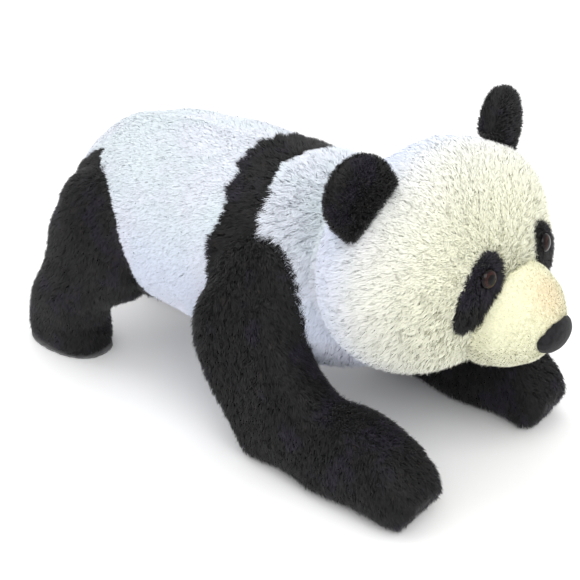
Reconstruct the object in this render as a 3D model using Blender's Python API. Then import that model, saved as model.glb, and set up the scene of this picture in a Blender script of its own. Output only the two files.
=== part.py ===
"""A large plush giant panda that crouches on its forearms and hind feet.

Fur panels are sewn around cores of fibre filling. The neck is a stuffed ball that the body
and the head both fit round, the legs hang from flat-faced shoulder and hip joints, and the
ears and the tail fold at their seams.

Units are metres. The panda faces -Y, its own left side is +X, and the floor is z = 0.
"""
import math

import bmesh
import bpy
import numpy as np
from mathutils import Matrix, Vector
from mathutils.bvhtree import BVHTree

# ------------------------------------------------------------------ fabric and clearances
COVER = 0.006            # thickness of a fur panel with its matted pile
GAP = 0.0003             # clearance between pieces that touch
SEAM = 0.0008            # opening between neighbouring panels along a seam
TURN_GAP = 0.0015        # clearance round the turned surfaces of a joint
FACE_GAP = 0.0006        # clearance between the flat faces of a joint
LAYER = COVER + GAP      # from the filling to the outside of its cover

# ------------------------------------------------------------------ body (filling sizes)
BODY_WIDTH = 0.296
BODY_HEIGHT = 0.262
BODY_LENGTH = 0.535
BODY_Y = 0.066           # middle of the body along Y
BODY_Z = 0.220           # height of the body's middle
BODY_SLOPE = 0.030       # how much the spine rises towards the tail, per metre
BODY_FULLNESS = 0.5      # 1 is an ellipsoid, less is a fuller barrel
BAND_FRONT = -0.112      # the black shoulder band, along Y
BAND_REAR = 0.036
HAUNCH_FRONT = 0.190     # front edge of the black rump panels
BELLY_HALF_ANGLE = 54.0  # the belly panel, either side of straight down, in degrees
BAND_LOW_ANGLE = 14.0    # the band's lower edges, above level
COLLAR_LOW_ANGLE = 18.0  # the collar's lower edges, below level
BODY_COVER_END = 0.95    # share of the body's sweep where the rump panels stop

# ------------------------------------------------------------------ neck and head
NECK_Y = -0.150
NECK_Z = 0.235
NECK_RADIUS = 0.098      # outside of the neck's fur
NECK_FRONT_ANGLE = 82.0  # the neck's cone faces, from straight ahead, in degrees
NECK_REAR_ANGLE = 97.0
HEAD_WIDTH = 0.345       # filling sizes
HEAD_LENGTH = 0.220
HEAD_HEIGHT = 0.262
HEAD_Y = -0.222
HEAD_Z = 0.276
HEAD_COVER_END = 0.10    # share of the head's sweep left open at the nose and the nape
GUSSET_HALF_ANGLE = 36.0  # the crown panel, either side of the middle
CHIN_HALF_ANGLE = 36.0

MUZZLE_WIDTH = 0.142
MUZZLE_LENGTH = 0.160
MUZZLE_HEIGHT = 0.138
MUZZLE_Y = -0.316
MUZZLE_Z = 0.235
MUZZLE_COVER = 0.003
NOSE_WIDTH = 0.068
NOSE_DEPTH = 0.034
NOSE_HEIGHT = 0.046
NOSE_Z = 0.227

EYE_SIDE = 30.0          # where the eyes sit on the head: degrees to the side of straight ahead
EYE_RISE = 12.0          # and degrees above the head's middle
EYE_RADIUS = 0.012
EYE_DOME = 0.008         # height of the dome over the patch
SHANK_RADIUS = 0.003
SHANK_LENGTH = 0.019
WASHER_RADIUS = 0.009
WASHER_THICKNESS = 0.0016
PATCH_LENGTH = 0.094
PATCH_WIDTH = 0.050
PATCH_THICKNESS = 0.003
PATCH_TILT = 30.0        # the lower end leans away from the nose
PATCH_DROP = 0.019       # its middle is this far below the eye

EAR_RADIUS = 0.048
EAR_THICKNESS = 0.030
EAR_SIDE = 53.0          # where the ears sit: degrees to the side of the crown
EAR_BACK = 1.0           # and degrees back from the head's middle
EAR_TURN = 8.0           # the ear faces this far outward
EAR_REACH = 0.014        # from the fold to the middle of the ear's round
EAR_DOME = ((1.0, 0.0), (0.97, 0.50), (0.86, 0.85), (0.55, 1.0))  # (share of radius, of depth)

# ------------------------------------------------------------------ legs (outside sizes)
SHOULDER_Y = -0.055
SHOULDER_Z = 0.170
SHOULDER_RADIUS = 0.080
SHOULDER_FACE = 0.113    # the leg's flat inner face, from the middle of the body
SHOULDER_WIDTH = 0.078
FOREARM_X = 0.143
FOREARM_WIDTH = 0.100
FOREARM_HEIGHT = 0.114
PAW_TIP = -0.334
PAW_HEIGHT = 0.116
PAW_NOSE_HEIGHT = 0.052  # height of the rounded tip of the paw
PAW_SINK = 0.006         # the filling's sweep dips below the floor, then is cut flat
PAW_KEYS = (0.035, 0.090)    # where the paw's top reaches most and all of its height
WRIST_BEFORE = 0.045     # the top of the leg rises to the shoulder from here
WRIST_AFTER = 0.030
LEG_TURN_BEFORE = 0.030  # the forearm moves in to the shoulder from here
LEG_TURN_AFTER = 0.040
ELBOW_RISE = 0.020       # the elbow's underside is this far below the shoulder's middle
LEG_SQUARE = 2.5         # 2 is an ellipse, more is squarer
BASE_HALF_ANGLE = 45.0   # the flat base panel, either side of straight down
BASE_END = 0.75          # share of the front leg's sweep where the base panel stops
LEG_COVER_END = 0.05     # share left open at the ends of the leg's covers
PAW_BASE_START = 0.10
FLAT_BELOW = 0.001       # panel points lower than this lie on the floor

HIP_Y = 0.246
HIP_Z = 0.172
HIP_RADIUS = 0.088
HIP_FACE = 0.092
HIP_WIDTH = 0.072
FOOT_X = 0.110
FOOT_WIDTH = 0.094
FOOT_LENGTH = 0.146
FOOT_Y = 0.331
FOOT_HEIGHT = 0.064
FOOT_TAPER = 0.008       # the foot draws in by this much from the sole to its top
FOOT_SQUARE = (2.4, 2.2)     # how square the foot is across and along
SOLE_THICKNESS = 0.005
SOLE_INSET = 0.002

TAIL_RADIUS = 0.018
TAIL_LENGTH = 0.012
TAIL_VENT = 0.003        # radius of the hole in its tip, where the filling shows
TAIL_DROOP = 38.0        # the tail hangs this far below level, in degrees

SIDES = (("left", 1.0), ("right", -1.0))
AROUND = 20              # facets round a large soft body
LEG_AROUND = 16
NECK_AROUND = 18
FACE_AROUND = 16         # round the muzzle and the nose
FACE_RINGS = 9
HEAD_RINGS = 13
EYE_AROUND = 12

CUT_REACH = 0.5          # how far the neck's cutter runs past the pieces it cuts
LEG_CUT_REACH = 0.12
PATCH_CUT_REACH = 0.03


# ------------------------------------------------------------------ materials
def material(name, colour, roughness, metallic=0.0):
    made = bpy.data.materials.get(name)
    if made is None:
        made = bpy.data.materials.new(name)
        made.use_nodes = True
        shader = made.node_tree.nodes["Principled BSDF"]
        shader.inputs["Base Color"].default_value = (*colour, 1.0)
        shader.inputs["Roughness"].default_value = roughness
        shader.inputs["Metallic"].default_value = metallic
    return made


def white_plush():
    return material("white_plush", (0.72, 0.78, 0.86), 0.95)


def cream_plush():
    return material("cream_plush", (0.86, 0.86, 0.74), 0.95)


def black_plush():
    return material("black_plush", (0.012, 0.012, 0.014), 0.95)


def muzzle_plush():
    return material("muzzle_plush", (0.88, 0.86, 0.70), 0.90)


def grey_suede():
    return material("grey_suede", (0.22, 0.22, 0.22), 0.90)


def nose_velour():
    return material("nose_velour", (0.010, 0.010, 0.011), 0.70)


def eye_plastic():
    return material("eye_plastic", (0.045, 0.012, 0.006), 0.08)


def washer_plastic():
    return material("washer_plastic", (0.75, 0.75, 0.72), 0.45)


def fibre_filling():
    return material("fibre_filling", (0.90, 0.90, 0.88), 1.0)


# ------------------------------------------------------------------ meshes
def add_object(name, vertices, faces, look):
    """A closed mesh object with its faces turned outward and shaded smooth."""
    mesh = bpy.data.meshes.new(name)
    mesh.from_pydata([tuple(point) for point in vertices], [], faces)
    work = bmesh.new()
    work.from_mesh(mesh)
    bmesh.ops.recalc_face_normals(work, faces=work.faces)
    work.to_mesh(mesh)
    work.free()
    mesh.shade_smooth()
    made = bpy.data.objects.new(name, mesh)
    made.data.materials.append(look)
    bpy.context.scene.collection.objects.link(made)
    return made


def cutter(made):
    made.hide_render = True
    made.display_type = "WIRE"
    return made


def boolean(made, operation, tool):
    step = made.modifiers.new(operation.lower(), "BOOLEAN")
    step.operation = operation
    step.object = tool
    step.solver = "EXACT"


def set_pivot(made, point):
    """Move an object's origin to a point and leave its shape where it is."""
    made.data.transform(Matrix.Translation(-Vector(point)))
    made.location = Vector(point)


def between(low, high, count):
    return np.linspace(low, high, count)


def blend_keys(keys, values, where):
    """A smooth curve through a few keys (cosine steps between them)."""
    where = np.clip(where, keys[0], keys[-1])
    slot = np.clip(np.searchsorted(keys, where, side="right") - 1, 0, len(keys) - 2)
    keys = np.asarray(keys)
    values = np.asarray(values)
    share = (where - keys[slot]) / (keys[slot + 1] - keys[slot])
    share = 0.5 - 0.5 * np.cos(math.pi * share)
    return values[slot] + (values[slot + 1] - values[slot]) * share


def power(value, exponent):
    return np.sign(value) * np.abs(value) ** exponent


# ------------------------------------------------------------------ soft surfaces
# A soft surface is a function of two arrays: u runs from one end (0) to the other (1), and
# v is the angle round it, in degrees. It returns the outside of the filling.
def normals(surface, u, v):
    step = 1e-4
    u = np.clip(u, 0.004, 0.996)
    along = surface(u + step, v) - surface(u - step, v)
    around = surface(u, v + step * 90) - surface(u, v - step * 90)
    across = np.cross(around, along)
    middle = 0.5 * (surface(u, v) + surface(u, v + 180))
    outward = surface(u, v) - middle
    facing = np.sign((across * outward).sum(-1, keepdims=True))
    across = across * np.where(facing == 0, 1, facing)
    return across / np.linalg.norm(across, axis=-1, keepdims=True)


def layer(surface, u, v, offset):
    if offset == 0:
        return surface(u, v)
    return surface(u, v) + normals(surface, u, v) * offset


def closed_shape(name, surface, steps, look, offset=0.0, around=AROUND):
    """A closed body: rings at steps, with a point at each end."""
    angles = between(0, 360, around + 1)[:-1]
    grid_u, grid_v = np.meshgrid(steps[1:-1], angles, indexing="ij")
    rings = layer(surface, grid_u, grid_v, offset)
    middle = surface(np.full(2, 0.5), np.array([0.0, 180.0])).mean(axis=0)
    ends = []
    for step in (steps[0], steps[-1]):
        tip = surface(np.array([step]), np.array([0.0]))[0]
        away = tip - middle
        ends.append(tip + away / np.linalg.norm(away) * offset)
    vertices = [ends[0], *rings.reshape(-1, 3), ends[1]]
    faces = []
    count = len(rings)
    last = 1 + count * around
    for k in range(around):
        after = (k + 1) % around
        faces.append((0, 1 + after, 1 + k))
        faces.append((last, last - around + k, last - around + after))
        for ring in range(count - 1):
            base = 1 + ring * around
            faces.append((base + k, base + after, base + around + after, base + around + k))
    return add_object(name, vertices, faces, look)


def panel(name, surface, steps, angles, look, inner=GAP, outer=LAYER, floor=None):
    """A fur panel: part of a soft surface, as thick as outer - inner."""
    grid_u, grid_v = np.meshgrid(steps, angles, indexing="ij")
    outside = layer(surface, grid_u, grid_v, outer)
    inside = layer(surface, grid_u, grid_v, inner)
    if floor is not None:
        outside[..., 2] = np.where(outside[..., 2] < floor, 0.0, outside[..., 2])
    rows, columns = grid_u.shape
    size = rows * columns
    vertices = [*outside.reshape(-1, 3), *inside.reshape(-1, 3)]
    faces = []
    for i in range(rows - 1):
        for j in range(columns - 1):
            a = i * columns + j
            faces.append((a, a + 1, a + columns + 1, a + columns))
            faces.append((size + a, size + a + columns, size + a + columns + 1, size + a + 1))
    rim = [(0, j) for j in range(columns)]
    rim += [(i, columns - 1) for i in range(1, rows)]
    rim += [(rows - 1, j) for j in range(columns - 2, -1, -1)]
    rim += [(i, 0) for i in range(rows - 2, 0, -1)]
    edge = [i * columns + j for i, j in rim]
    for here, there in zip(edge, edge[1:] + edge[:1]):
        faces.append((here, size + here, size + there, there))
    return add_object(name, vertices, faces, look)


def seam_to_seam(low, high, radius, around=AROUND):
    """A panel's angles: its filling's own inside it, and its two seams, half an opening short."""
    step = 360.0 / around
    short = math.degrees(0.5 * SEAM / radius)
    first = math.ceil((low + short) / step + 0.05)
    last = math.floor((high - short) / step - 0.05)
    return np.concatenate([[low + short], step * np.arange(first, last + 1), [high - short]])


def ellipsoid(centre, radii, name, look, around=AROUND, rings=14, axis="Y"):
    """A closed ellipsoid with its poles on one axis."""
    centre = np.asarray(centre)
    radii = np.asarray(radii)

    def surface(u, v):
        return ellipsoid_point(centre, radii, u, v, axis)

    return closed_shape(name, surface, between(0, 1, rings), look, around=around)


def ellipsoid_point(centre, radii, u, v, axis="Y"):
    along = -np.cos(np.pi * u)
    round_ = np.sin(np.pi * u)
    first = np.cos(np.radians(v)) * round_
    second = np.sin(np.radians(v)) * round_
    if axis == "Y":
        unit = np.stack([first, along, second], -1)
    else:
        unit = np.stack([first, second, along], -1)
    return centre + unit * radii


def turned(name, profile, around, look, place=None):
    """A turned solid about its local Z from (radius, height) pairs that start and end at 0."""
    vertices = [(0, 0, profile[0][1])]
    rings = profile[1:-1]
    for radius, height in rings:
        for k in range(around):
            angle = 2 * math.pi * k / around
            vertices.append((radius * math.cos(angle), radius * math.sin(angle), height))
    vertices.append((0, 0, profile[-1][1]))
    faces = []
    last = len(vertices) - 1
    for k in range(around):
        after = (k + 1) % around
        faces.append((0, 1 + after, 1 + k))
        faces.append((last, last - around + k, last - around + after))
        for ring in range(len(rings) - 1):
            base = 1 + ring * around
            faces.append((base + k, base + after, base + around + after, base + around + k))
    made = add_object(name, vertices, faces, look)
    if place is not None:
        made.data.transform(place)
    return made


def pipe_ring(name, inner, outer, low, high, around, look, place=None):
    """A flat ring about its local Z."""
    vertices = []
    for radius, height in ((inner, low), (outer, low), (outer, high), (inner, high)):
        for k in range(around):
            angle = 2 * math.pi * k / around
            vertices.append((radius * math.cos(angle), radius * math.sin(angle), height))
    faces = []
    for side in range(4):
        start = side * around
        over = ((side + 1) % 4) * around
        for k in range(around):
            after = (k + 1) % around
            faces.append((start + k, start + after, over + after, over + k))
    made = add_object(name, vertices, faces, look)
    if place is not None:
        made.data.transform(place)
    return made


def frame_at(point, facing, up):
    """A matrix whose local Z is facing and whose local Y leans to up."""
    z = Vector(facing).normalized()
    x = Vector(up).cross(z).normalized()
    y = z.cross(x)
    turn = Matrix((x, y, z)).transposed().to_4x4()
    return Matrix.Translation(Vector(point)) @ turn


# ------------------------------------------------------------------ body
def body_surface(u, v):
    y = BODY_Y - 0.5 * BODY_LENGTH * np.cos(np.pi * u)
    scale = np.sin(np.pi * u) ** BODY_FULLNESS
    x = 0.5 * BODY_WIDTH * scale * np.cos(np.radians(v))
    z = BODY_Z + BODY_SLOPE * (y - BODY_Y) + 0.5 * BODY_HEIGHT * scale * np.sin(np.radians(v))
    return np.stack([x, y, z], -1)


def body_step(y):
    """The body's u at a place along Y."""
    return math.acos((BODY_Y - y) / (0.5 * BODY_LENGTH)) / math.pi


def joint_cutters():
    """What makes room in the body: the neck's hollow, the shoulders' and the hips'."""
    tools = [neck_hollow("neck_hollow_body", +1.0, 180.0 - NECK_REAR_ANGLE)]
    for side, sign in SIDES:
        for name, y, z, radius, face in (
            ("shoulder_hollow_", SHOULDER_Y, SHOULDER_Z, SHOULDER_RADIUS, SHOULDER_FACE),
            ("hip_hollow_", HIP_Y, HIP_Z, HIP_RADIUS, HIP_FACE),
        ):
            tools.append(side_hollow(name + side, sign, y, z, radius, face))
    return tools


def neck_hollow(name, direction, cone_angle):
    """A ball with a cone opening out of it, turned about Y through the neck's centre."""
    radius = NECK_RADIUS + TURN_GAP
    arc = between(0, cone_angle, 8)
    profile = [(radius * math.sin(math.radians(a)), radius * math.cos(math.radians(a))) for a in arc]
    cone = math.radians(cone_angle)
    profile.append((CUT_REACH * math.sin(cone), CUT_REACH * math.cos(cone)))
    profile.append((CUT_REACH * math.sin(cone), -CUT_REACH))
    profile.append((0, -CUT_REACH))
    place = frame_at((0, NECK_Y, NECK_Z), (0, direction, 0), (0, 0, 1))
    return cutter(turned(name, profile, 28, fibre_filling(), place))


def side_hollow(name, sign, y, z, radius, face):
    """A short cylinder along X that takes the flat end of a leg."""
    wide = radius + TURN_GAP
    profile = [(0, 0), (wide, 0), (wide, LEG_CUT_REACH), (0, LEG_CUT_REACH)]
    place = frame_at((sign * (face - FACE_GAP), y, z), (sign, 0, 0), (0, 0, 1))
    return cutter(turned(name, profile, 32, fibre_filling(), place))


def rings_between(steps, low, high):
    """Rings from one seam to the next, half an opening short at both."""
    seam = 0.5 * SEAM / BODY_LENGTH
    inside = steps[(steps > low + seam) & (steps < high - seam)]
    return np.concatenate([[low + seam], inside, [high - seam]])


def make_body():
    front = body_step(BAND_FRONT)
    band = body_step(BAND_REAR)
    haunch = body_step(HAUNCH_FRONT)
    steps = np.concatenate([
        between(0, front, 5)[:-1], between(front, band, 4)[:-1],
        between(band, haunch, 4)[:-1], between(haunch, 1, 7)])
    made = [closed_shape("body_filling", body_surface, steps, fibre_filling())]
    made += body_panels(steps, front, band, haunch)
    for tool in joint_cutters():
        for piece in made:
            boolean(piece, "DIFFERENCE", tool)
    make_tail(steps[-2], steps[-1])


def body_panels(steps, front, band, haunch):
    seam = 0.5 * SEAM / BODY_LENGTH
    collar = np.array([body_step(NECK_Y + TURN_GAP), front - seam])
    shoulder = rings_between(steps, front, band)
    flank = rings_between(steps, band, haunch)
    rump = np.concatenate([[haunch + seam],
                           steps[(steps > haunch + seam) & (steps < BODY_COVER_END)]])
    half = 0.5 * BODY_HEIGHT
    belly_low = 270 - BELLY_HALF_ANGLE
    belly_high = 270 + BELLY_HALF_ANGLE
    made = []
    for side, sign in SIDES:
        if sign > 0:
            around = seam_to_seam(belly_high, 450, half)
            upper = around[around > 360 + BAND_LOW_ANGLE]
        else:
            around = seam_to_seam(90, belly_low, half)
            upper = around[around < 180 - BAND_LOW_ANGLE]
        made.append(panel("back_cover_" + side, body_surface, flank, around, white_plush()))
        made.append(panel("shoulder_band_" + side, body_surface, shoulder, upper, black_plush()))
        made.append(panel("rump_cover_" + side, body_surface, rump, around, black_plush()))
    under = seam_to_seam(belly_low, belly_high, half)
    made.append(panel("belly_cover", body_surface, np.concatenate([shoulder[:-1], flank]), under,
                      white_plush()))
    made.append(panel("seat_cover", body_surface, rump, under, black_plush()))
    made.append(panel("collar_cover", body_surface, collar,
                      seam_to_seam(-COLLAR_LOW_ANGLE, 180 + COLLAR_LOW_ANGLE, half), white_plush()))
    return made


# ------------------------------------------------------------------ neck
def neck_surface(u, v):
    radius = NECK_RADIUS - LAYER
    centre = np.array([0, NECK_Y, NECK_Z])
    return ellipsoid_point(centre, np.array([radius] * 3), u, v)


def make_neck():
    closed_shape("neck_filling", neck_surface, between(0, 1, 10), fibre_filling(),
                 around=NECK_AROUND)
    steps = between(0, 1, 10)[3:7]
    for side, sign in SIDES:
        low, high = (-90, 90) if sign > 0 else (90, 270)
        around = seam_to_seam(low, high, NECK_RADIUS, NECK_AROUND)
        panel("neck_cover_" + side, neck_surface, steps, around, white_plush())


# ------------------------------------------------------------------ head
HEAD_CENTRE = np.array([0.0, HEAD_Y, HEAD_Z])
HEAD_RADII = 0.5 * np.array([HEAD_WIDTH, HEAD_LENGTH, HEAD_HEIGHT])


def head_surface(u, v):
    return ellipsoid_point(HEAD_CENTRE, HEAD_RADII, u, v)


def make_head():
    hollow = neck_hollow("neck_hollow_head", -1.0, NECK_FRONT_ANGLE)
    steps = between(0, 1, HEAD_RINGS)
    filling = closed_shape("head_filling", head_surface, steps, fibre_filling())
    covered = steps[(steps > HEAD_COVER_END) & (steps < 1 - HEAD_COVER_END)]
    half = 0.5 * HEAD_WIDTH
    low_gusset = 90 - GUSSET_HALF_ANGLE
    high_gusset = 90 + GUSSET_HALF_ANGLE
    made = [filling]
    made.append(panel("crown_cover", head_surface, covered,
                      seam_to_seam(low_gusset, high_gusset, half), cream_plush()))
    made.append(panel("chin_cover", head_surface, covered,
                      seam_to_seam(270 - CHIN_HALF_ANGLE, 270 + CHIN_HALF_ANGLE, half), cream_plush()))
    covers = {}
    for side, sign in SIDES:
        if sign > 0:
            low, high = CHIN_HALF_ANGLE - 90, low_gusset
        else:
            low, high = high_gusset, 270 - CHIN_HALF_ANGLE
        around = seam_to_seam(low, high, half)
        covers[side] = panel("cheek_cover_" + side, head_surface, covered, around, cream_plush())
        made.append(covers[side])
    for piece in made:
        boolean(piece, "DIFFERENCE", hollow)
    muzzle_outside = make_muzzle()
    for side, sign in SIDES:
        patch = make_eye(side, sign, filling, covers[side])
        boolean(patch, "DIFFERENCE", muzzle_outside)
    return filling


def make_muzzle():
    centre = (0, MUZZLE_Y, MUZZLE_Z)
    radii = 0.5 * np.array([MUZZLE_WIDTH, MUZZLE_LENGTH, MUZZLE_HEIGHT])
    head = cutter(closed_shape("head_outside", head_surface, between(0, 1, HEAD_RINGS), cream_plush(),
                               offset=LAYER + GAP))
    core = ellipsoid(centre, radii - MUZZLE_COVER - GAP, "muzzle_filling", fibre_filling(),
                     around=FACE_AROUND, rings=FACE_RINGS)
    boolean(core, "DIFFERENCE", head)
    cover = ellipsoid(centre, radii, "muzzle_cover", muzzle_plush(), around=FACE_AROUND, rings=FACE_RINGS)
    hollow = cutter(ellipsoid(centre, radii - MUZZLE_COVER, "muzzle_hollow", muzzle_plush(),
                              around=FACE_AROUND, rings=FACE_RINGS))
    boolean(cover, "DIFFERENCE", hollow)
    boolean(cover, "DIFFERENCE", head)
    front = MUZZLE_Y - math.sqrt(1 - ((NOSE_Z - MUZZLE_Z) / radii[2]) ** 2) * radii[1]
    nose = ellipsoid((0, front + 0.25 * NOSE_DEPTH, NOSE_Z),
                     0.5 * np.array([NOSE_WIDTH, NOSE_DEPTH, NOSE_HEIGHT]), "nose", nose_velour(),
                     around=FACE_AROUND, rings=FACE_RINGS)
    outside = cutter(ellipsoid(centre, radii + GAP, "muzzle_outside", muzzle_plush(),
                               around=FACE_AROUND, rings=FACE_RINGS))
    boolean(nose, "DIFFERENCE", outside)
    return outside


def make_eye(side, sign, filling, cover):
    """A safety eye: dome and shank through the patch and the cover, washer behind the cover."""
    turn = math.radians(EYE_SIDE)
    rise = math.radians(EYE_RISE)
    direction = (sign * math.sin(turn) * math.cos(rise), -math.cos(turn) * math.cos(rise),
                 math.sin(rise))
    seat, facing = facet_ahead(filling, HEAD_CENTRE, direction)
    place = frame_at(seat + facing * LAYER, facing, (0, 0, 1))
    patch = make_patch(side, sign, place)
    base = PATCH_THICKNESS + 2 * GAP
    arc = between(90, 0, 6)
    dome = [(EYE_RADIUS * math.cos(math.radians(a)), base + EYE_DOME * math.sin(math.radians(a)))
            for a in arc]
    profile = [*dome, (SHANK_RADIUS, base), (SHANK_RADIUS, base - SHANK_LENGTH),
               (0, base - SHANK_LENGTH)]
    turned("eye_" + side, profile, EYE_AROUND, eye_plastic(), place)
    behind = -COVER - 2 * GAP
    pipe_ring("eye_washer_" + side, SHANK_RADIUS + GAP, WASHER_RADIUS, behind - WASHER_THICKNESS,
              behind, EYE_AROUND, washer_plastic(), place)
    for tool, pieces in eye_cutters(side, place, base, behind):
        for piece in pieces:
            boolean({"cover": cover, "patch": patch, "filling": filling}[piece], "DIFFERENCE", tool)
    return patch


def eye_cutters(side, place, base, behind):
    """The hole for the shank and the washer's room, with the pieces each one cuts."""
    room = 2.5 * LAYER
    wide = WASHER_RADIUS + 2 * GAP
    low = base - SHANK_LENGTH - GAP
    shank = SHANK_RADIUS + GAP
    tools = (
        ("shank_hole_", shank, -room, room, cream_plush(), ("cover", "patch")),
        ("washer_room_", wide, low, behind + GAP, cream_plush(), ("cover",)),
        ("washer_pocket_", wide, low, room, fibre_filling(), ("filling",)),
    )
    made = []
    for name, radius, start, end, look, pieces in tools:
        profile = [(0, start), (radius, start), (radius, end), (0, end)]
        made.append((cutter(turned(name + side, profile, EYE_AROUND, look, place)), pieces))
    return made


def facet_ahead(made, start, direction):
    """Where a ray from inside a solid meets its surface, and how that facet faces."""
    tree = BVHTree.FromPolygons([v.co for v in made.data.vertices],
                                [p.vertices for p in made.data.polygons])
    seat, facing, _, _ = tree.ray_cast(Vector(start), Vector(direction))
    return seat, facing


def make_patch(side, sign, place):
    """The black fur oval round the eye, lying on the cheek cover."""
    lean = Matrix.Rotation(math.radians(sign * PATCH_TILT), 4, "Z")
    drop = Matrix.Translation((0, -PATCH_DROP, 0))
    vertices = []
    count = 28
    for height in (-PATCH_CUT_REACH, PATCH_CUT_REACH):
        for k in range(count):
            angle = 2 * math.pi * k / count
            vertices.append((0.5 * PATCH_WIDTH * math.cos(angle),
                             0.5 * PATCH_LENGTH * math.sin(angle), height))
    faces = [tuple(range(count)), tuple(range(count, 2 * count))]
    for k in range(count):
        after = (k + 1) % count
        faces.append((k, after, count + after, count + k))
    patch = add_object("eye_patch_" + side, vertices, faces, black_plush())
    patch.data.transform(place @ lean @ drop)
    top = cutter(closed_shape("patch_top_" + side, head_surface, between(0, 1, HEAD_RINGS), black_plush(),
                              offset=LAYER + GAP + PATCH_THICKNESS))
    under = cutter(closed_shape("patch_under_" + side, head_surface, between(0, 1, HEAD_RINGS),
                                black_plush(), offset=LAYER + GAP))
    boolean(patch, "INTERSECT", top)
    boolean(patch, "DIFFERENCE", under)
    return patch


# ------------------------------------------------------------------ ears
def make_ear(side, sign, head):
    """Two fur rounds face to face. They fold about the straight lower edge."""
    turn = math.radians(EAR_SIDE)
    back = math.radians(EAR_BACK)
    direction = (sign * math.sin(turn) * math.cos(back), math.sin(back),
                 math.cos(turn) * math.cos(back))
    roll = 0.5 * EAR_THICKNESS
    seat, up = facet_ahead(head, HEAD_CENTRE, direction)
    seat = seat + up * (LAYER + roll + FACE_GAP)
    facing = Vector((sign * math.sin(math.radians(EAR_TURN)), -math.cos(math.radians(EAR_TURN)), 0))
    across = up.cross(facing).normalized()
    facing = across.cross(up)
    place = Matrix.Translation(seat) @ Matrix((across, up, facing)).transposed().to_4x4()
    outline = ear_outline()
    for part, front in (("front", 1.0), ("back", -1.0)):
        half_ear("ear_" + part + "_" + side, outline, front, place, seat)


def ear_outline():
    """The ear's round, from one end of the fold over the top to the other."""
    half_fold = math.sqrt(EAR_RADIUS ** 2 - EAR_REACH ** 2)
    start = math.atan2(-EAR_REACH, half_fold)
    angles = between(start, math.pi - start, 19)
    return [(EAR_RADIUS * math.cos(a), EAR_REACH + EAR_RADIUS * math.sin(a)) for a in angles]


def half_ear(name, outline, front, place, seat):
    """One face of the ear: domed, with a quarter-round along the fold."""
    roll = 0.5 * EAR_THICKNESS
    fold = outline[0][0]
    along_fold = 7
    vertices = []
    for share, depth in EAR_DOME:
        height = max(depth * roll, 0.5 * GAP)
        for x, y in outline:
            vertices.append((x * share, max(EAR_REACH + (y - EAR_REACH) * share, 0.0), front * height))
        low = -roll * math.cos(math.asin(height / roll))
        for x in between(-fold * share, fold * share, along_fold):
            vertices.append((x, low, front * height))
    ring = len(outline) + along_fold
    rows = len(EAR_DOME)
    faces = [tuple(range(ring)), tuple(range((rows - 1) * ring, rows * ring))]
    for row in range(rows - 1):
        base = row * ring
        for k in range(ring):
            after = (k + 1) % ring
            faces.append((base + k, base + after, base + ring + after, base + ring + k))
    made = add_object(name, vertices, faces, black_plush())
    made.data.transform(place)
    set_pivot(made, seat)


# ------------------------------------------------------------------ legs
def rounded(share, square):
    return power(share, 2.0 / square)


def foreleg_surface(sign):
    """The front leg, sliced along Y from the paw's tip to the elbow."""
    tip = PAW_TIP + LAYER
    elbow = SHOULDER_Y + SHOULDER_RADIUS - LAYER
    wrist = SHOULDER_Y - SHOULDER_RADIUS
    round_radius = SHOULDER_RADIUS - LAYER
    shoulder_x = SHOULDER_FACE + 0.5 * SHOULDER_WIDTH
    sole = LAYER - PAW_SINK

    def top(y):
        paw = blend_keys([tip, tip + PAW_KEYS[0], tip + PAW_KEYS[1], wrist],
                         [PAW_NOSE_HEIGHT, 0.86 * PAW_HEIGHT, PAW_HEIGHT, FOREARM_HEIGHT], y) - LAYER
        arch = np.sqrt(np.maximum(round_radius ** 2 - (y - SHOULDER_Y) ** 2, 0))
        join = blend_keys([wrist - WRIST_BEFORE, wrist + WRIST_AFTER], [0.0, 1.0], y)
        return paw * (1 - join) + np.maximum(SHOULDER_Z + arch, paw) * join

    def bottom(y):
        return blend_keys([tip, tip + 0.02, SHOULDER_Y, elbow],
                          [0.77 * PAW_NOSE_HEIGHT, sole, sole, SHOULDER_Z - ELBOW_RISE], y)

    def surface(u, v):
        y = 0.5 * (tip + elbow) - 0.5 * (elbow - tip) * np.cos(np.pi * u)
        high, low = top(y), bottom(y)
        body = blend_keys([wrist - LEG_TURN_BEFORE, wrist + LEG_TURN_AFTER], [0.0, 1.0], y)
        centre = FOREARM_X * (1 - body) + shoulder_x * body
        half = 0.5 * (FOREARM_WIDTH * (1 - body) + SHOULDER_WIDTH * body) - LAYER
        narrow = np.minimum(1, np.sin(np.pi * u) / 0.55) ** 0.6
        shallow = np.minimum(1, np.sin(np.pi * u) / 0.30) ** 0.7
        x = centre + half * narrow * rounded(np.cos(np.radians(v)), LEG_SQUARE)
        z = 0.5 * (high + low + (high - low) * shallow * rounded(np.sin(np.radians(v)), LEG_SQUARE))
        return np.stack([sign * x, y, np.maximum(z, LAYER)], -1)

    return surface


def make_foreleg(side, sign):
    surface = foreleg_surface(sign)
    steps = between(0, 1, 14)
    covered = steps[(steps > LEG_COVER_END) & (steps < 1 - LEG_COVER_END)]
    flat = steps[(steps > PAW_BASE_START) & (steps < BASE_END)]
    base_low = 270 - BASE_HALF_ANGLE
    base_high = 270 + BASE_HALF_ANGLE
    radius = 0.3 * FOREARM_WIDTH
    made = [closed_shape("foreleg_filling_" + side, surface, steps, fibre_filling(),
                         around=LEG_AROUND)]
    for name, rows, low, high in (
        ("foreleg_outer_cover_", covered, base_high - 360, 90),
        ("foreleg_inner_cover_", covered, 90, base_low),
        ("foreleg_base_", flat, base_low, base_high),
    ):
        around = seam_to_seam(low, high, radius, LEG_AROUND)
        made.append(panel(name + side, surface, rows, around, black_plush(), floor=FLAT_BELOW))
    for piece in made:
        set_pivot(piece, (sign * SHOULDER_FACE, SHOULDER_Y, SHOULDER_Z))


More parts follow.
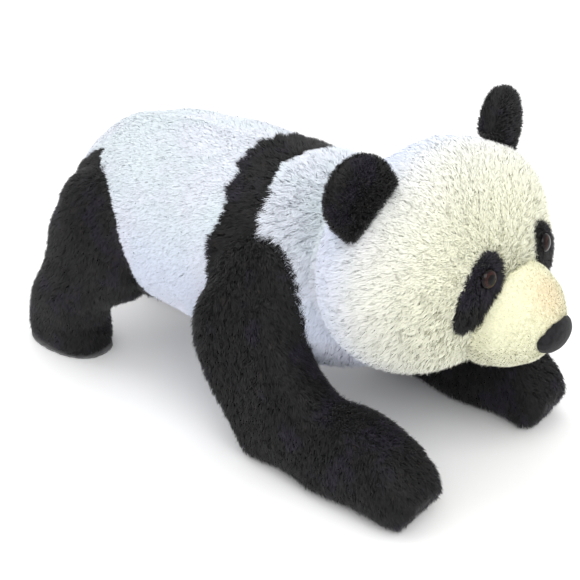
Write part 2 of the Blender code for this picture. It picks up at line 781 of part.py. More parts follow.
def hindleg_surface(sign):
    """The hind leg, sliced along Z from the sole to the top of the haunch."""
    low = SOLE_THICKNESS + GAP
    high = HIP_Z + HIP_RADIUS - LAYER
    round_radius = HIP_RADIUS - LAYER

    def surface(u, v):
        z = low + (high - low) * np.sin(0.5 * np.pi * u)
        upper = np.sqrt(np.maximum(round_radius ** 2 - np.maximum(z - HIP_Z, 0) ** 2, 0))
        foot = blend_keys([0, FOOT_HEIGHT, HIP_Z],
                          [0.5 * FOOT_LENGTH, 0.5 * FOOT_LENGTH - FOOT_TAPER, HIP_RADIUS], z) - LAYER
        thigh = blend_keys([0.6 * FOOT_HEIGHT, 1.5 * FOOT_HEIGHT], [0.0, 1.0], z)
        half_y = foot * (1 - thigh) + np.minimum(upper, foot) * thigh
        lean = blend_keys([0.6 * FOOT_HEIGHT, HIP_Z], [0.0, 1.0], z)
        centre_y = FOOT_Y * (1 - lean) + HIP_Y * lean
        centre_x = FOOT_X * (1 - thigh) + (HIP_FACE + 0.5 * HIP_WIDTH) * thigh
        half_x = 0.5 * (FOOT_WIDTH * (1 - thigh) + HIP_WIDTH * thigh) - LAYER
        close = np.sqrt(np.maximum(1 - np.maximum((z - HIP_Z) / (high - HIP_Z), 0) ** 2, 0)) ** 0.6
        x = centre_x + half_x * close * rounded(np.cos(np.radians(v)), FOOT_SQUARE[0])
        y = centre_y + half_y * rounded(np.sin(np.radians(v)), FOOT_SQUARE[1])
        return np.stack([sign * x, y, z], -1)

    return surface


def flat_ended(name, surface, steps, look, around=LEG_AROUND):
    """A closed body with a flat first end and a point at the last."""
    angles = between(0, 360, around + 1)[:-1]
    grid_u, grid_v = np.meshgrid(steps[:-1], angles, indexing="ij")
    rings = surface(grid_u, grid_v)
    tip = surface(np.array([steps[-1]]), np.array([0.0]))[0]
    vertices = [*rings.reshape(-1, 3), tip]
    last = len(vertices) - 1
    faces = [tuple(range(around))]
    for k in range(around):
        after = (k + 1) % around
        faces.append((last, last - around + k, last - around + after))
        for ring in range(len(rings) - 1):
            base = ring * around
            faces.append((base + k, base + after, base + around + after, base + around + k))
    return add_object(name, vertices, faces, look)


def make_hindleg(side, sign):
    surface = hindleg_surface(sign)
    steps = between(0, 1, 10)
    covered = steps[steps < 1 - LEG_COVER_END]
    radius = 0.5 * FOOT_LENGTH
    made = [flat_ended("hindleg_filling_" + side, surface, steps, fibre_filling())]
    for name, low, high in (("hindleg_outer_cover_", -90, 90), ("hindleg_inner_cover_", 90, 270)):
        around = seam_to_seam(low, high, radius, LEG_AROUND)
        made.append(panel(name + side, surface, covered, around, black_plush()))
    made.append(make_sole(side, sign))
    for piece in made:
        set_pivot(piece, (sign * HIP_FACE, HIP_Y, HIP_Z))


def make_sole(side, sign):
    """The flat suede oval under the hind foot."""
    count = 24
    vertices = []
    for height in (0.0, SOLE_THICKNESS):
        for k in range(count):
            angle = 2 * math.pi * k / count
            x = FOOT_X + (0.5 * FOOT_WIDTH - SOLE_INSET) * rounded(math.cos(angle), FOOT_SQUARE[0])
            y = FOOT_Y + (0.5 * FOOT_LENGTH - SOLE_INSET) * rounded(math.sin(angle), FOOT_SQUARE[1])
            vertices.append((sign * x, y, height))
    faces = [tuple(range(count)), tuple(range(count, 2 * count))]
    for k in range(count):
        after = (k + 1) % count
        faces.append((k, after, count + after, count + k))
    return add_object("hindfoot_sole_" + side, vertices, faces, grey_suede())


# ------------------------------------------------------------------ tail
def make_tail(above, below):
    """A short stuffed tail whose round end rolls on the rump, between two of the rump's rings."""
    droop = math.radians(TAIL_DROOP)
    top, bottom = body_surface(np.array([above, below]), np.array([90.0, 90.0]))
    along = bottom - top
    facing = np.array([0, -along[2], along[1]]) / np.linalg.norm(along)
    pivot = 0.5 * (top + bottom) + facing * (GAP + TAIL_RADIUS)
    core = TAIL_RADIUS - LAYER
    down = Vector((0, math.cos(droop), -math.sin(droop)))
    place = frame_at(pivot, down, (0, 0, 1))
    tail_solid("tail_filling", core, place, pivot, fibre_filling())
    cover = tail_solid("tail_cover", TAIL_RADIUS, place, pivot, white_plush())
    hollow = cutter(tail_solid("tail_hollow", core + GAP, place, pivot, white_plush()))
    boolean(cover, "DIFFERENCE", hollow)
    vent = cutter(turned("tail_vent", [(0, 0), (TAIL_VENT, 0), (TAIL_VENT, 0.1), (0, 0.1)], 12,
                         white_plush(), place))
    boolean(cover, "DIFFERENCE", vent)


def tail_solid(name, radius, place, pivot, look):
    arc = between(180, 90, 5)
    profile = [(radius * math.sin(math.radians(a)), radius * math.cos(math.radians(a))) for a in arc]
    profile[0] = (0, profile[0][1])
    arc = between(90, 0, 5)
    profile += [(radius * math.sin(math.radians(a)), TAIL_LENGTH + radius * math.cos(math.radians(a)))
                for a in arc]
    profile[-1] = (0, profile[-1][1])
    made = turned(name, profile, 14, look, place)
    set_pivot(made, pivot)
    return made


def main():
    for made in list(bpy.data.objects):
        bpy.data.objects.remove(made, do_unlink=True)
    make_body()
    make_neck()
    head = make_head()
    for side, sign in SIDES:
        make_ear(side, sign, head)
        make_foreleg(side, sign)
        make_hindleg(side, sign)


main()
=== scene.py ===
"""Fur, eyes, nose and soles of a crouching plush panda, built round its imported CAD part."""

import math

import bpy
import numpy as np
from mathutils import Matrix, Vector
from mathutils.bvhtree import BVHTree
from mathutils.kdtree import KDTree


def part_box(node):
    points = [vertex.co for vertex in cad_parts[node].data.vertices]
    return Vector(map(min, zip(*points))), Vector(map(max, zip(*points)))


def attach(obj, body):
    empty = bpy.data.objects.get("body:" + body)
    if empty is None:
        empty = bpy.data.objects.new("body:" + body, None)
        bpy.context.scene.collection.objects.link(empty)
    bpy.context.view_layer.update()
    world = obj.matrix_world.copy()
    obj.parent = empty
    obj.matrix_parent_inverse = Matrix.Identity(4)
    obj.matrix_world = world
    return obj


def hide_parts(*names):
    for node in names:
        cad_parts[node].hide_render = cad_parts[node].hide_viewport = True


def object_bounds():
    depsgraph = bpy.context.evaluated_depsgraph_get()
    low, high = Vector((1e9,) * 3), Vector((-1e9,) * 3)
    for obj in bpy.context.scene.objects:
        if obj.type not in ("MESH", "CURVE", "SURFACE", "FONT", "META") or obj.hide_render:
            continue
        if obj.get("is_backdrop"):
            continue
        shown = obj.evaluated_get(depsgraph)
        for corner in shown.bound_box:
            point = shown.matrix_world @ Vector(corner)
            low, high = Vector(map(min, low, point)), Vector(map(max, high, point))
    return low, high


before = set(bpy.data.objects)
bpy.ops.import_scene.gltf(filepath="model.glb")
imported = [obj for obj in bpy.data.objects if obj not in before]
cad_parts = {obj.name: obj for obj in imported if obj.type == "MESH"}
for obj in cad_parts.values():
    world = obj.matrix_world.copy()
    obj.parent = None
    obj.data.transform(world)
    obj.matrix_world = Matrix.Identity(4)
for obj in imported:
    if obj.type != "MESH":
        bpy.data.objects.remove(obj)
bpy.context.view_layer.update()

STRANDS = 1.0        # share of the full strand count
THICKEN = 1.0         # wider strands where there are fewer
PIECE_STRANDS = 60000                   # most strands in one piece
SIDES = (("left", 1.0), ("right", -1.0))

VOXEL = 0.005                           # remeshing step of the fabric skins
LUMP_SIZE = 0.055                       # across the soft lumps of the filling
ROOT_DEPTH = 0.0012                     # how far a strand's root is sunk in its fabric
HIDDEN = 0.010                          # fabric deeper than this inside a neighbour grows no pile
FLOOR_GAP = 0.0006                      # lowest a strand may reach
RAY = Vector((0.31, 0.22, 0.92)).normalized()    # the way inside tests look
SHEEN_SPREAD = 0.25                     # how far a strand's shading turns from the fabric's
CLUMP_DENSITY = 560000                  # strands per square metre that clump sizes are reckoned with
CHEST_REAR = -0.03                      # where the chest's longer pile gives way to the back's
NOSE_POINT = (0.0, -0.40, 0.20)         # the head's pile is brushed away from here
DOME_SINK = 0.001                       # how far the dome's back dips into the patch
EYE_CLEARING = 0.013                    # no patch pile grows nearer than this to the eye's top
PATCH_DEPTH = 0.03                      # how far behind its patch the head's pile is left out

# Pile length, how flat it lies (0 upright, 1 flat), strand width, strands per square metre, the
# size of the clumps that strands gather in and how strongly they gather (0 to 1). A floor is the
# lowest that a strand may reach.
BACK_PILE = dict(length=0.0080, lay=0.82, width=0.0010, density=640000, clump=0.0050, clumping=0.30)
NECK_PILE = dict(length=0.0140, lay=0.62, width=0.0010, density=640000, clump=0.0070, clumping=0.45)
HEAD_PILE = dict(length=0.0115, lay=0.68, width=0.0010, density=680000, clump=0.0065, clumping=0.40)
MUZZLE_PILE = dict(length=0.0042, lay=0.66, width=0.0008, density=1100000, clump=0.0032, clumping=0.30)
LIMB_PILE = dict(length=0.0110, lay=0.62, width=0.0011, density=560000, clump=0.0065, clumping=0.45)
EAR_PILE = dict(length=0.0080, lay=0.50, width=0.0010, density=700000, clump=0.0050, clumping=0.35)
PATCH_PILE = dict(length=0.0090, lay=0.58, width=0.0010, density=800000, clump=0.0055, clumping=0.45)
HINDLEG_PILE = dict(LIMB_PILE, floor=0.0015)


# ---------------------------------------------------------------- small maths

def unit(v):
    """Vectors scaled to length one."""
    return v / np.maximum(np.linalg.norm(v, axis=-1, keepdims=True), 1e-9)


def ramp(x, low, high):
    """Smooth step from 0 at low to 1 at high."""
    t = np.clip((x - low) / (high - low), 0.0, 1.0)
    return t * t * (3.0 - 2.0 * t)


def waves(points, size, seed):
    """A smooth random field from about -1 to 1 whose lumps are about size across."""
    rng = np.random.default_rng(seed)
    total = np.zeros(len(points))
    for _ in range(7):
        direction = unit(rng.normal(size=3))
        stretch = rng.uniform(0.7, 1.5) * 2.0 * math.pi / (size * 2.2)
        total += np.sin(points @ direction * stretch + rng.uniform(0.0, 2.0 * math.pi))
    return total / 2.6


def tangential(v, normals):
    """The part of each vector that lies along the surface."""
    return v - (v * normals).sum(1, keepdims=True) * normals


# ---------------------------------------------------------------- meshes

def new_mesh(name, points, loops, starts):
    """A mesh from flat arrays."""
    mesh = bpy.data.meshes.new(name)
    mesh.vertices.add(len(points))
    mesh.vertices.foreach_set("co", np.asarray(points, np.float32).ravel())
    mesh.loops.add(len(loops))
    mesh.loops.foreach_set("vertex_index", np.asarray(loops, np.int32))
    mesh.polygons.add(len(starts))
    mesh.polygons.foreach_set("loop_start", np.asarray(starts, np.int32))
    mesh.update(calc_edges=True)
    return mesh


def add_piece(name, mesh, finish):
    """A named object with its material."""
    obj = bpy.data.objects.new(name, mesh)
    bpy.context.scene.collection.objects.link(obj)
    mesh.materials.clear()
    mesh.materials.append(finish)
    return obj


def coordinates(mesh):
    """The mesh's points as an array."""
    co = np.zeros(len(mesh.vertices) * 3, np.float32)
    mesh.vertices.foreach_get("co", co)
    return co.reshape(-1, 3).astype(float)


def point_normals(mesh):
    """The mesh's point normals as an array."""
    no = np.zeros(len(mesh.vertices) * 3, np.float32)
    mesh.vertex_normals.foreach_get("vector", no)
    return no.reshape(-1, 3).astype(float)


def set_points(mesh, points):
    """Moves the mesh's points."""
    mesh.vertices.foreach_set("co", np.asarray(points, np.float32).ravel())
    mesh.update()


def joined(name, nodes, core=None):
    """One mesh with copies of several CAD nodes and a round core."""
    points, faces, first = [], [], 0
    for node in nodes:
        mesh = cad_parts[node].data
        points.extend(tuple(v.co) for v in mesh.vertices)
        faces.extend([first + i for i in p.vertices] for p in mesh.polygons)
        first += len(mesh.vertices)
    if core is not None:
        points.extend(tuple(p) for p in core[0])
        faces.extend([first + i for i in face] for face in core[1])
    made = bpy.data.meshes.new(name)
    made.from_pydata(points, [], faces)
    return made


def round_core(centre, radii, fullness=1.0, slope=0.0):
    """Points and faces of a closed ellipsoid along Y, or of a fuller barrel that slopes."""
    around, rings = 40, 28
    turn = np.arange(around) * 2.0 * math.pi / around
    points, faces = [], []
    for step in np.linspace(0.02, 0.98, rings) * math.pi:
        wide = math.sin(step) ** fullness
        y = np.full(around, -radii[1] * math.cos(step))
        z = slope * y + radii[2] * wide * np.sin(turn)
        points.extend(np.stack([radii[0] * wide * np.cos(turn), y, z], 1) + np.array(centre))
    for ring in range(rings - 1):
        for k in range(around):
            a, b = ring * around + k, ring * around + (k + 1) % around
            faces.append([a, b, b + around, a + around])
    faces.append(list(range(around)))
    faces.append(list(range((rings - 1) * around, rings * around))[::-1])
    return points, faces


def skin(name, nodes, finish, voxel=VOXEL, rounds=6, grow=0.0, lumps=0.0, shape=None, core=None):
    """One smooth closed fabric skin over several CAD nodes, which it stands for.

    grow moves it out along its normals, lumps adds soft unevenness, shape(points, normals) sculpts it
    and core, a round_core, fills the hollows of its joints."""
    obj = add_piece(name, joined(name, nodes, core), finish)
    remesh = obj.modifiers.new("remesh", "REMESH")
    remesh.mode = "VOXEL"
    remesh.voxel_size = voxel
    soften = obj.modifiers.new("soften", "SMOOTH")
    soften.factor = 0.5
    soften.iterations = rounds
    graph = bpy.context.evaluated_depsgraph_get()
    mesh = bpy.data.meshes.new_from_object(obj.evaluated_get(graph))
    obj.modifiers.clear()
    obj.data = mesh
    mesh.name = name
    points, normals = coordinates(mesh), point_normals(mesh)
    out = grow + lumps * waves(points, LUMP_SIZE, 3)
    if shape is not None:
        out = out + shape(points, normals)
    points += normals * np.reshape(out, (-1, 1))
    points[:, 2] = np.maximum(points[:, 2], 0.0)
    set_points(mesh, points)
    mesh.polygons.foreach_set("use_smooth", np.ones(len(mesh.polygons), bool))
    mesh.materials.clear()
    mesh.materials.append(finish)
    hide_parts(*nodes)
    return obj


def tree_of(obj):
    """A search tree over the object's faces."""
    mesh = obj.data
    return BVHTree.FromPolygons([v.co for v in mesh.vertices], [p.vertices for p in mesh.polygons])


def is_inside(tree, point):
    """Whether a ray from the point leaves the closed skin an odd number of times."""
    start, crossings = Vector(point), 0
    while True:
        hit = tree.ray_cast(start, RAY)[0]
        if hit is None:
            return crossings % 2 == 1
        start = hit + RAY * 1e-5
        crossings += 1


def depth_inside(points, trees):
    """How far each point lies inside any of the skins, negative where it is outside all."""
    depth = np.full(len(points), -1.0)
    for tree in trees:
        for i, p in enumerate(points):
            distance = tree.find_nearest(p, 0.05)[3]
            if distance is not None and distance > depth[i] and is_inside(tree, p):
                depth[i] = distance
    return depth


# ---------------------------------------------------------------- fur

def scatter(mesh, density, rng):
    """Random points over a mesh: triangle corners, weights, points and normals."""
    mesh.calc_loop_triangles()
    corners = np.zeros(len(mesh.loop_triangles) * 3, np.int32)
    mesh.loop_triangles.foreach_get("vertices", corners)
    corners = corners.reshape(-1, 3)
    points, normals = coordinates(mesh), point_normals(mesh)
    a, b, c = (points[corners[:, k]] for k in range(3))
    areas = np.linalg.norm(np.cross(b - a, c - a), axis=1) / 2.0
    count = int(areas.sum() * density)
    chosen = rng.choice(len(areas), count, p=areas / areas.sum())
    u, v = rng.random(count), rng.random(count)
    flip = u + v > 1.0
    u[flip], v[flip] = 1.0 - u[flip], 1.0 - v[flip]
    weights = np.stack([1.0 - u - v, u, v], 1)
    corners = corners[chosen]
    where = (points[corners] * weights[:, :, None]).sum(1)
    facing = unit((normals[corners] * weights[:, :, None]).sum(1))
    return corners, weights, where, facing


def clump_of(points, size, rng):
    """For each point, the index of the point that leads its clump."""
    members = max(1.0, CLUMP_DENSITY * STRANDS * size * size)
    count = max(1, int(len(points) * 0.9 / members))
    centres = rng.choice(len(points), min(len(points), count), replace=False)
    tree = KDTree(len(centres))
    for k, i in enumerate(centres):
        tree.insert(points[i], k)
    tree.balance()
    nearest = np.array([tree.find(p)[1] for p in points], int)
    return centres[nearest]


def strands(name, roots, normals, comb, pile, scale, finish, rng):
    """Tapered, bent strands of pile as real geometry, in pieces of a manageable size."""
    count = len(roots)
    lengths = pile["length"] * scale * rng.uniform(0.72, 1.12, count)
    jitter = tangential(rng.normal(size=(count, 3)), normals) * 0.30
    along = unit(tangential(comb, normals)) * pile["lay"] + jitter
    lean = unit(normals * (1.0 - 0.55 * pile["lay"]) + along * 0.75)
    end = unit(normals * (1.0 - pile["lay"]) * 0.9 + along + np.array([0.0, 0.0, -0.12]))
    base = roots - normals * ROOT_DEPTH
    middle = base + lean * (lengths * 0.55)[:, None]
    tip = middle + end * (lengths * 0.5)[:, None]
    leader = clump_of(roots, pile["clump"], rng)
    pull = pile["clumping"] * rng.uniform(0.4, 1.2, count)[:, None]
    gathered = roots[leader] + (tip[leader] - roots[leader]) * (lengths / lengths[leader])[:, None]
    tip = tip + (gathered - tip) * pull
    middle = middle + ((roots[leader] + middle[leader] - roots[leader]) - middle) * pull * 0.35
    across = unit(np.cross(normals, lean))
    turn = rng.normal(0.0, 0.6, count)[:, None]
    across = unit(across * np.cos(turn) + unit(np.cross(lean, across)) * np.sin(turn))
    wide = across * (pile["width"] * THICKEN * rng.uniform(0.7, 1.2, count) / 2.0)[:, None]
    points = np.stack([base - wide, base + wide, middle + wide * 0.85, middle - wide * 0.85, tip], 1)
    facing = np.cross(points[:, 1] - points[:, 0], points[:, 3] - points[:, 0])
    wrong = (facing * normals).sum(1) < 0.0
    points[wrong] = points[wrong][:, [1, 0, 3, 2, 4]]
    points[:, :, 2] = np.maximum(points[:, :, 2], pile.get("floor", FLOOR_GAP))
    shading = unit(normals + SHEEN_SPREAD * unit(facing * np.where(wrong, -1.0, 1.0)[:, None]))
    tones = np.clip(0.5 + 0.2 * rng.normal(size=count) + 0.3 * (rng.random(count)[leader] - 0.5), 0.0, 1.0)
    made = []
    groups = max(1, math.ceil(count / PIECE_STRANDS))
    order = np.argsort(roots[:, 1], kind="stable")
    for g, chosen in enumerate(np.array_split(order, groups)):
        label = f"{name}_{g + 1}" if groups > 1 else name
        mesh = strand_mesh(label, points[chosen], shading[chosen], tones[chosen])
        made.append(add_piece(label, mesh, finish))
    return made


def strand_mesh(name, points, shading, tones):
    """The mesh of some strands: a quad and a tip each, with a tone and a place along the strand.

    Each strand has its own cell of the OFBake layer."""
    count = len(points)
    first = (np.arange(count) * 5)[:, None]
    loops = (first + np.array([0, 1, 2, 3, 3, 2, 4])).ravel()
    starts = ((np.arange(count) * 7)[:, None] + np.array([0, 4])).ravel()
    mesh = new_mesh(name, points.reshape(-1, 3), loops, starts)
    mesh.polygons.foreach_set("use_smooth", np.ones(count * 2, bool))
    along = mesh.attributes.new("along", "FLOAT", "POINT")
    along.data.foreach_set("value", np.tile(np.array([0.0, 0.0, 0.55, 0.55, 1.0], np.float32), count))
    tone = mesh.attributes.new("tone", "FLOAT", "POINT")
    tone.data.foreach_set("value", np.repeat(tones.astype(np.float32), 5))
    cells = math.ceil(math.sqrt(count))
    corner = np.stack([np.arange(count) % cells, np.arange(count) // cells], 1)[:, None, :]
    quad = [[0.1, 0.05], [0.9, 0.05], [0.85, 0.55], [0.15, 0.55]]
    shape = np.array([*quad, quad[3], quad[2], [0.5, 0.95]])
    layer = mesh.uv_layers.new(name="OFBake")
    layer.data.foreach_set("uv", ((corner + shape[None]) / cells).astype(np.float32).ravel())
    normals = np.repeat(shading, 5, axis=0)
    mesh.normals_split_custom_set_from_vertices(normals.tolist())
    return mesh


def grow(name, skin_obj, pile, comb, finish, slot, body, seed, keep=None, scale=None, hidden=None):
    """Pile over a skin: keep(points) and scale(points) choose where it grows and how long it is."""
    rng = np.random.default_rng(seed)
    corners, weights, roots, normals = scatter(skin_obj.data, pile["density"] * STRANDS, rng)
    kept = np.ones(len(roots), bool)
    if hidden is not None:
        kept &= (hidden[corners] * weights).sum(1) < HIDDEN
    if keep is not None:
        kept &= keep(roots, normals)
    roots, normals = roots[kept], normals[kept]
    size = np.ones(len(roots)) if scale is None else scale(roots)
    if not len(roots):
        return []
    made = strands(name, roots, normals, comb(roots), pile, size, finish, rng)
    for piece in made:
        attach(piece, body)
    return made


# ---------------------------------------------------------------- materials

def nodes_of(name):
    """A new node material, its node tree and its shader."""
    finish = bpy.data.materials.new(name)
    finish.use_nodes = True
    tree = finish.node_tree
    shader = tree.nodes["Principled BSDF"]
    return finish, tree, shader


def add_node(tree, kind, **values):
    """Adds a node and sets its fields."""
    node = tree.nodes.new(kind)
    for key, value in values.items():
        setattr(node, key, value)
    return node


def colour_mix(tree, factor, first, second, blend="MIX"):
    """Mixes two colours, each a socket or a colour, by a socket or number."""
    node = add_node(tree, "ShaderNodeMix", data_type="RGBA", blend_type=blend)
    inputs = (node.inputs["Factor"], node.inputs[6], node.inputs[7])
    for socket, value in zip(inputs, (factor, first, second)):
        if isinstance(value, bpy.types.NodeSocket):
            tree.links.new(value, socket)
        else:
            socket.default_value = value if isinstance(value, float) else (*value, 1.0)[:4]
    return node.outputs[2]


def remap(tree, source, low, high, out_low=0.0, out_high=1.0):
    """A clamped, smooth map of a socket's range."""
    node = add_node(tree, "ShaderNodeMapRange", interpolation_type="SMOOTHSTEP")
    tree.links.new(source, node.inputs["Value"])
    for key, value in (("From Min", low), ("From Max", high), ("To Min", out_low), ("To Max", out_high)):
        node.inputs[key].default_value = value
    return node.outputs["Result"]


def noise(tree, coordinates_socket, size, detail=3.0, roughness=0.55):
    """Noise whose lumps are about size across, in metres."""
    node = add_node(tree, "ShaderNodeTexNoise")
    node.inputs["Scale"].default_value = 1.0 / size
    node.inputs["Detail"].default_value = detail
    node.inputs["Roughness"].default_value = roughness
    tree.links.new(coordinates_socket, node.inputs["Vector"])
    return node.outputs["Fac"]


def object_place(tree):
    """The object's own coordinates, whole and as separate X, Y and Z."""
    place = add_node(tree, "ShaderNodeTexCoord").outputs["Object"]
    split = add_node(tree, "ShaderNodeSeparateXYZ")
    tree.links.new(place, split.inputs[0])
    return place, split


def attribute(tree, name):
    """A per-strand value."""
    return add_node(tree, "ShaderNodeAttribute", attribute_name=name).outputs["Fac"]


def bump(tree, shader, height, strength, distance):
    """Relief from a height socket."""
    node = add_node(tree, "ShaderNodeBump")
    node.inputs["Strength"].default_value = strength
    node.inputs["Distance"].default_value = distance
    tree.links.new(height, node.inputs["Height"])
    tree.links.new(node.outputs["Normal"], shader.inputs["Normal"])


def plush(name, tint, strand=True, deep=0.86, bright=1.04, sheen=0.25, rough=0.85):
    """Pile or its backing: tint(tree, place, split) gives the base colour socket.

    deep is painted shade: it darkens the strands towards their roots, or a whole backing, as if shaded by
    the pile; bright is the lightest strand's tone."""
    finish, tree, shader = nodes_of(name)
    place, split = object_place(tree)
    colour = tint(tree, place, split)
    if strand:
        along, tone = attribute(tree, "along"), attribute(tree, "tone")
        # Painted shade: each strand darkens towards its root, down in the pile.
        shade = remap(tree, along, 0.0, 0.9, deep, 1.0)
        tones = remap(tree, tone, 0.0, 1.0, 2.0 - bright - 0.03, bright)
        product = add_node(tree, "ShaderNodeMath", operation="MULTIPLY")
        tree.links.new(shade, product.inputs[0])
        tree.links.new(tones, product.inputs[1])
        factor = product.outputs[0]
    else:
        # Painted shade: the backing is darker than the pile above it, as if shaded by it, with mottling.
        factor = remap(tree, noise(tree, place, 0.0025, 4.0), 0.3, 0.7, deep * 0.8, deep)
        bump(tree, shader, noise(tree, place, 0.002, 4.0), 0.7, 0.002)
    grey = add_node(tree, "ShaderNodeCombineColor")
    for k in range(3):
        tree.links.new(factor, grey.inputs[k])
    result = colour_mix(tree, 1.0, colour, grey.outputs[0], "MULTIPLY")
    tree.links.new(result, shader.inputs["Base Color"])
    shader.inputs["Roughness"].default_value = rough
    shader.inputs["Sheen Weight"].default_value = sheen
    shader.inputs["Sheen Roughness"].default_value = 0.5
    shader.inputs["Sheen Tint"].default_value = (1.0, 1.0, 1.0, 1.0)
    shader.inputs["Specular IOR Level"].default_value = 0.25
    return finish


COOL_WHITE = (0.74, 0.80, 0.93)
BACK_WHITE = (0.74, 0.81, 0.85)
PURE_WHITE = (0.90, 0.91, 0.90)
CREAM = (0.94, 0.94, 0.77)
WARM_CREAM = (0.93, 0.92, 0.68)
LILAC = (0.83, 0.80, 0.91)
TAN = (0.88, 0.66, 0.42)


def body_tint(tree, place, split):
    """Cool white with greyer and bluer patches."""
    patches = remap(tree, noise(tree, place, 0.10, 2.0), 0.35, 0.65)
    height = remap(tree, split.outputs["Z"], 0.18, 0.32)
    colour = colour_mix(tree, height, COOL_WHITE, BACK_WHITE)
    return colour_mix(tree, remap(tree, patches, 0.0, 1.0, 0.0, 0.35), colour, LILAC)


def head_tint(tree, place, split):
    """Cool at the nape, white on the cheeks, warm cream on the face."""
    front = remap(tree, split.outputs["Y"], -0.16, -0.26)
    face = remap(tree, split.outputs["Y"], -0.19, -0.32)
    patches = remap(tree, noise(tree, place, 0.08, 2.0), 0.35, 0.65)
    colour = colour_mix(tree, front, COOL_WHITE, PURE_WHITE)
    colour = colour_mix(tree, remap(tree, patches, 0.0, 1.0, 0.0, 0.25), colour, LILAC)
    return colour_mix(tree, face, colour, CREAM)


def muzzle_tint(tree, place, split):
    """Warm cream with a soft tan bloom on the bridge."""
    high = remap(tree, split.outputs["Z"], 0.15, 0.26)
    colour = colour_mix(tree, high, CREAM, WARM_CREAM)
    away = add_node(tree, "ShaderNodeVectorMath", operation="DISTANCE")
    tree.links.new(place, away.inputs[0])
    away.inputs[1].default_value = (0.0, -0.372, 0.268)
    bloom = remap(tree, away.outputs["Value"], 0.045, 0.005, 0.0, 0.45)
    return colour_mix(tree, bloom, colour, TAN)


def black_tint(tree, place, split):
    """Near black with faint violet and brown patches."""
    violet = remap(tree, noise(tree, place, 0.05, 3.0), 0.50, 0.66)
    brown = remap(tree, noise(tree, place, 0.012, 3.0), 0.55, 0.75)
    colour = colour_mix(tree, violet, (0.0085, 0.0085, 0.0090), (0.016, 0.013, 0.024))
    return colour_mix(tree, brown, colour, (0.022, 0.018, 0.016))


def suede():
    """Grey suede with a brushed nap."""
    finish, tree, shader = nodes_of("suede")
    place, _ = object_place(tree)
    patches = remap(tree, noise(tree, place, 0.015, 4.0), 0.35, 0.65)
    colour = colour_mix(tree, patches, (0.085, 0.085, 0.088), (0.135, 0.135, 0.138))
    tree.links.new(colour, shader.inputs["Base Color"])
    bump(tree, shader, noise(tree, place, 0.0009, 5.0), 0.5, 0.0006)
    shader.inputs["Roughness"].default_value = 0.95
    shader.inputs["Sheen Weight"].default_value = 0.3
    return finish


def velour():
    """Dense black velour for the nose."""
    finish, tree, shader = nodes_of("velour")
    place, _ = object_place(tree)
    patches = remap(tree, noise(tree, place, 0.006, 4.0), 0.35, 0.65)
    colour = colour_mix(tree, patches, (0.006, 0.006, 0.007), (0.014, 0.013, 0.015))
    tree.links.new(colour, shader.inputs["Base Color"])
    bump(tree, shader, noise(tree, place, 0.0008, 5.0), 0.6, 0.0005)
    shader.inputs["Roughness"].default_value = 0.95
    shader.inputs["Sheen Weight"].default_value = 0.12
    shader.inputs["Sheen Roughness"].default_value = 0.5
    shader.inputs["Specular IOR Level"].default_value = 0.2
    return finish


def glass_eye(name, centre, axis):
    """Glossy plastic: a black pupil, a red-brown iris and a dark rim, round an axis."""
    finish, tree, shader = nodes_of(name)
    place, _ = object_place(tree)
    offset = add_node(tree, "ShaderNodeVectorMath", operation="SUBTRACT")
    tree.links.new(place, offset.inputs[0])
    offset.inputs[1].default_value = centre
    across = add_node(tree, "ShaderNodeVectorMath", operation="CROSS_PRODUCT")
    tree.links.new(offset.outputs[0], across.inputs[0])
    across.inputs[1].default_value = axis
    reach = add_node(tree, "ShaderNodeVectorMath", operation="LENGTH")
    tree.links.new(across.outputs[0], reach.inputs[0])
    radius = reach.outputs["Value"]
    iris = remap(tree, radius, 0.0058, 0.0068)
    rim = remap(tree, radius, 0.0088, 0.0102)
    fibres = remap(tree, noise(tree, place, 0.0012, 3.0), 0.35, 0.65)
    brown = colour_mix(tree, fibres, (0.012, 0.004, 0.003), (0.036, 0.012, 0.009))
    colour = colour_mix(tree, iris, (0.003, 0.002, 0.002), brown)
    colour = colour_mix(tree, rim, colour, (0.006, 0.004, 0.004))
    tree.links.new(colour, shader.inputs["Base Color"])
    shader.inputs["Roughness"].default_value = 0.07
    shader.inputs["Specular IOR Level"].default_value = 0.18
    return finish


# deep sets how much painted shade darkens the strands' roots and the backing under the pile.
WHITE_PILE = plush("white_pile", body_tint)
WHITE_BACKING = plush("white_backing", body_tint, strand=False)
HEAD_FUR = plush("head_pile", head_tint)
HEAD_BACKING = plush("head_backing", head_tint, strand=False)
MUZZLE_FUR = plush("muzzle_pile", muzzle_tint, deep=0.74, bright=1.0)
MUZZLE_BACKING = plush("muzzle_backing", muzzle_tint, strand=False, deep=0.95)
BLACK_PILE = plush("black_pile", black_tint, deep=0.6, bright=1.5, sheen=0.12, rough=0.6)
BLACK_BACKING = plush("black_backing", black_tint, strand=False, sheen=0.05)
SUEDE = suede()
VELOUR = velour()


# ---------------------------------------------------------------- skins

def named(*stems):
    """The nodes whose names start with one of the stems, both sides where there are two."""
    return [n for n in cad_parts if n.startswith(stems)]


# The fold down the left cheek, read off the photographed cheek; the right one mirrors it.
FOLD_LINE = ((0.112, -0.205, 0.375), (0.133, -0.230, 0.350), (0.147, -0.245, 0.320), (0.152, -0.245, 0.270))
FOLD_WIDTH = 0.007
FOLD_DEPTH = 0.005
WELT_HEIGHT = 0.002                     # the soft ridges on both sides of the fold
WELT_AWAY = 0.016
WELT_WIDTH = 0.008


